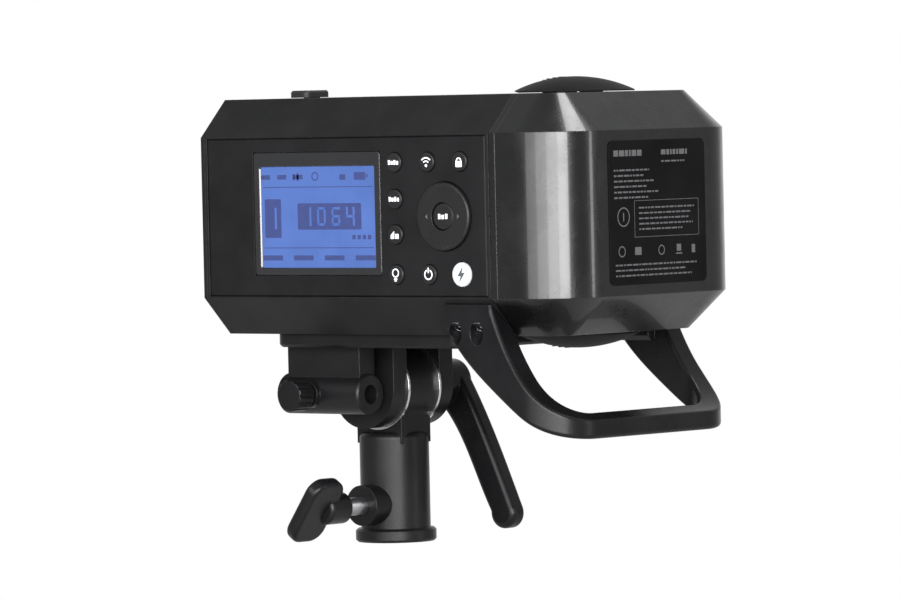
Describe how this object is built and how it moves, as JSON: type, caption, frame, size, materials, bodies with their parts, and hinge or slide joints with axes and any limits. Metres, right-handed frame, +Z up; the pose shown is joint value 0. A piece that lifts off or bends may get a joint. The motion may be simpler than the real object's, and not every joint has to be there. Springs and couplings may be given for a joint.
{
  "type": "battery monolight strobe",
  "caption": "Battery-powered studio flash head with side control panel, clip-on battery, loop handle, bayonet accessory ring and tilting stand bracket with clamp lever.",
  "frame": {"origin": "centre of the stand socket's mouth", "axes": "+Z up along the stand socket, light shines towards -Y, control panel on +X"},
  "size_m": [0.1298, 0.2343, 0.205],
  "materials": {
    "casing_black": "fine textured satin black",
    "panel_black": "matte control panel",
    "battery_gloss": "glossy black moulding",
    "latch_black": "satin black moulding",
    "cast_black": "black powder coat on cast aluminium",
    "handle_black": "satin glass-filled nylon",
    "key_black": "silicone-soft black key",
    "key_grey": "translucent grey key",
    "dial_black": "satin dial",
    "window": "clear display window",
    "lcd_blue": "blue backlit display",
    "label_black": "printed label",
    "rubber_black": "soft rubber flap",
    "release_grey": "ribbed slider",
    "screw_black": "black oxide steel",
    "steel": "turned steel",
    "washer_steel": "bright plated washer",
    "brass": "turned brass",
    "ring_metal": "machined aluminium",
    "reflector_polish": "polished dish",
    "clear_glass": "clear glass",
    "ceramic_white": "fired ceramic",
    "led_yellow": "phosphor lens",
    "board_green": "circuit board",
    "capacitor_sleeve": "shrink sleeve",
    "winding_copper": "lacquered copper winding on ferrite",
    "fan_black": "moulded fan",
    "inner_plastic": "inner moulding",
    "cell_wrap": "cell wrap",
    "gauge_lens": "frosted indicator lens"
  },
  "bodies": {
    "stand_bracket": {"stand_block": "cast_black", "tilt_washers": "washer_steel"},
    "head": {"upper_shell": "casing_black", "lower_shell": "casing_black", "front_plate": "casing_black", "vent_panel": "casing_black", "control_panel": "panel_black", "display_window": "window", "lcd_panel": "lcd_blue", "control_board": "board_green", "port_block": "inner_plastic", "casing_screws": "screw_black", "mount_ring": "ring_metal", "reflector_dish": "reflector_polish", "glass_dome": "clear_glass", "flash_tube": "clear_glass", "tube_socket": "ceramic_white", "modelling_led": "led_yellow", "flash_capacitors": "capacitor_sleeve", "power_board": "board_green", "inverter_transformer": "winding_copper", "fan_frame": "fan_black", "rear_bulkhead": "inner_plastic", "terminal_block": "inner_plastic", "terminal_blades": "brass", "latch_pins": "steel", "handle": "handle_black", "bracket_screws": "screw_black", "saddle": "cast_black", "umbrella_holder": "cast_black", "tilt_bolt": "steel"},
    "battery": {"battery_cover": "battery_gloss", "battery_case": "battery_gloss", "battery_cells": "cell_wrap", "gauge_lights": "gauge_lens", "rating_label": "label_black"},
    "battery_gauge_button": {"gauge_button": "key_black"},
    "upper_latch": {"top_latch": "latch_black"},
    "lower_latch": {"bottom_latch": "latch_black"},
    "lens_release": {"mount_release": "release_grey", "mount_lock_pin": "steel"},
    "fan": {"fan_rotor": "fan_black"},
    "port_flap": {"port_cover": "rubber_black"},
    "dial": {"control_dial": "dial_black"},
    "lever": {"lever_insert": "steel", "tilt_lever": "handle_black"},
    "socket_pad": {"socket_pad": "brass"},
    "socket_knob": {"socket_screw": "steel", "socket_knob": "handle_black"},
    "umbrella_pad": {"umbrella_pad": "brass"},
    "umbrella_knob": {"umbrella_knob": "handle_black"},
    "group_button": {"group_button": "key_black"},
    "wireless_button": {"wireless_button": "key_black"},
    "lock_button": {"lock_button": "key_black"},
    "menu_button": {"menu_button": "key_black"},
    "mode_button": {"mode_button": "key_black"},
    "lamp_button": {"lamp_button": "key_black"},
    "power_button": {"power_button": "key_black"},
    "test_button": {"test_button": "key_grey"},
    "set_button": {"set_button": "key_black"}
  },
  "joints": [
    {"name": "head_tilt", "type": "hinge", "parent": "stand_bracket", "child": "head", "pos_m": [0, 0, 0.069], "axis": [1, 0, 0], "range_deg": [-60, 75]},
    {"name": "battery_slide", "type": "slide", "parent": "head", "child": "battery", "axis": [0, 1, 0], "range_m": [0, 0.08]},
    {"name": "gauge_button_press", "type": "slide", "parent": "battery", "child": "battery_gauge_button", "axis": [1, 0, 0], "range_m": [0, 0.0008], "stiffness_N_per_m": 900},
    {"name": "upper_latch_rock", "type": "hinge", "parent": "head", "child": "upper_latch", "pos_m": [0, 0.1, 0.1915], "axis": [1, 0, 0], "range_deg": [0, 5], "stiffness_Nm_per_rad": 0.6},
    {"name": "lower_latch_rock", "type": "hinge", "parent": "head", "child": "lower_latch", "pos_m": [0, 0.1, 0.1005], "axis": [-1, 0, 0], "range_deg": [0, 5], "stiffness_Nm_per_rad": 0.6},
    {"name": "lens_release_slide", "type": "slide", "parent": "head", "child": "lens_release", "axis": [0, 1, 0], "range_m": [0, 0.004], "stiffness_N_per_m": 500},
    {"name": "fan_spin", "type": "hinge", "parent": "head", "child": "fan", "pos_m": [-0.052, 0.068, 0.146], "axis": [1, 0, 0], "continuous": true},
    {"name": "port_flap_hinge", "type": "hinge", "parent": "head", "child": "port_flap", "pos_m": [-0.0631, 0.01, 0.1344], "axis": [0, 1, 0], "range_deg": [0, 100]},
    {"name": "dial_turn", "type": "hinge", "parent": "head", "child": "dial", "pos_m": [0.061, 0.087, 0.146], "axis": [1, 0, 0], "continuous": true},
    {"name": "lever_swing", "type": "hinge", "parent": "head", "child": "lever", "pos_m": [-0.03, 0, 0.069], "axis": [1, 0, 0], "range_deg": [-50, 45]},
    {"name": "socket_pad_travel", "type": "slide", "parent": "stand_bracket", "child": "socket_pad", "axis": [-1, 0, 0], "range_m": [0, 0.0025]},
    {"name": "socket_knob_turn", "type": "hinge", "parent": "socket_pad", "child": "socket_knob", "pos_m": [0.024, 0, 0.017], "axis": [-1, 0, 0], "range_deg": [0, 719.5]},
    {"name": "umbrella_pad_travel", "type": "slide", "parent": "head", "child": "umbrella_pad", "axis": [-1, 0, 0], "range_m": [0, 0.0015]},
    {"name": "umbrella_knob_turn", "type": "hinge", "parent": "umbrella_pad", "child": "umbrella_knob", "pos_m": [0.048, -0.014, 0.067], "axis": [-1, 0, 0], "range_deg": [0, 674.5]},
    {"name": "group_button_press", "type": "slide", "parent": "head", "child": "group_button", "axis": [-1, 0, 0], "range_m": [0, 0.0007], "stiffness_N_per_m": 900},
    {"name": "wireless_button_press", "type": "slide", "parent": "head", "child": "wireless_button", "axis": [-1, 0, 0], "range_m": [0, 0.0007], "stiffness_N_per_m": 900},
    {"name": "lock_button_press", "type": "slide", "parent": "head", "child": "lock_button", "axis": [-1, 0, 0], "range_m": [0, 0.0007], "stiffness_N_per_m": 900},
    {"name": "menu_button_press", "type": "slide", "parent": "head", "child": "menu_button", "axis": [-1, 0, 0], "range_m": [0, 0.0007], "stiffness_N_per_m": 900},
    {"name": "mode_button_press", "type": "slide", "parent": "head", "child": "mode_button", "axis": [-1, 0, 0], "range_m": [0, 0.0007], "stiffness_N_per_m": 900},
    {"name": "lamp_button_press", "type": "slide", "parent": "head", "child": "lamp_button", "axis": [-1, 0, 0], "range_m": [0, 0.0007], "stiffness_N_per_m": 900},
    {"name": "power_button_press", "type": "slide", "parent": "head", "child": "power_button", "axis": [-1, 0, 0], "range_m": [0, 0.0007], "stiffness_N_per_m": 900},
    {"name": "test_button_press", "type": "slide", "parent": "head", "child": "test_button", "axis": [-1, 0, 0], "range_m": [0, 0.0007], "stiffness_N_per_m": 900},
    {"name": "set_button_press", "type": "slide", "parent": "head", "child": "set_button", "axis": [-1, 0, 0], "range_m": [0, 0.0007], "stiffness_N_per_m": 900}
  ],
  "couplings": [
    {"joint": "socket_pad_travel", "follows": "socket_knob_turn", "m_per_rad": 0.00019894},
    {"joint": "umbrella_pad_travel", "follows": "umbrella_knob_turn", "m_per_rad": 0.00012732}
  ]
}
